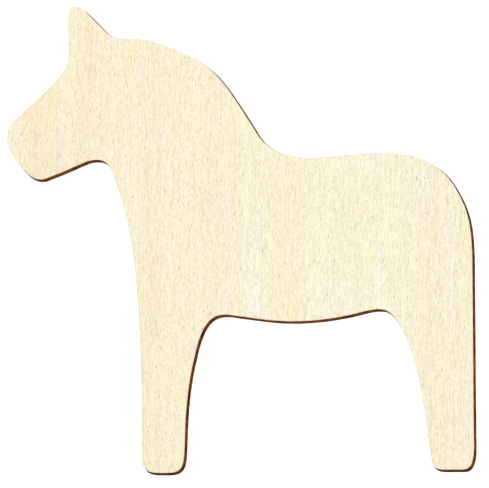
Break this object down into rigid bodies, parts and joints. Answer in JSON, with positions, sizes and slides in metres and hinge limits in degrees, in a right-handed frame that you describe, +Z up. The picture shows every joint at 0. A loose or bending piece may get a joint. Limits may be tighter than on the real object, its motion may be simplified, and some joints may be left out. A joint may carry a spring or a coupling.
{
  "type": "plywood dala horse blank",
  "caption": "Flat horse silhouette cut from thin plywood: face veneers, a cross-grained core and glue films, standing on square hooves, unpainted.",
  "frame": {"origin": "on the ground, under the middle of the board's outline and of its thickness", "axes": "+Z up, +Y through the board from the front face to the back face, +X towards the rump; the horse looks towards -X"},
  "size_m": [0.1005, 0.003, 0.1001],
  "materials": {
    "face_veneer": "bare sanded veneer, pale cream with fine upright flecks; its cut edge is scorched brown",
    "core_veneer": "veneer with its grain lengthwise, seen only as a scorched brown band in the cut edge",
    "glue_film": "hardened glue soaked into the wood on each side, seen as a thin dark line in the cut edge"
  },
  "bodies": {
    "root": {"front_veneer": "face_veneer", "front_glue_film": "glue_film", "core_veneer": "core_veneer", "back_glue_film": "glue_film", "back_veneer": "face_veneer"}
  },
  "joints": []
}
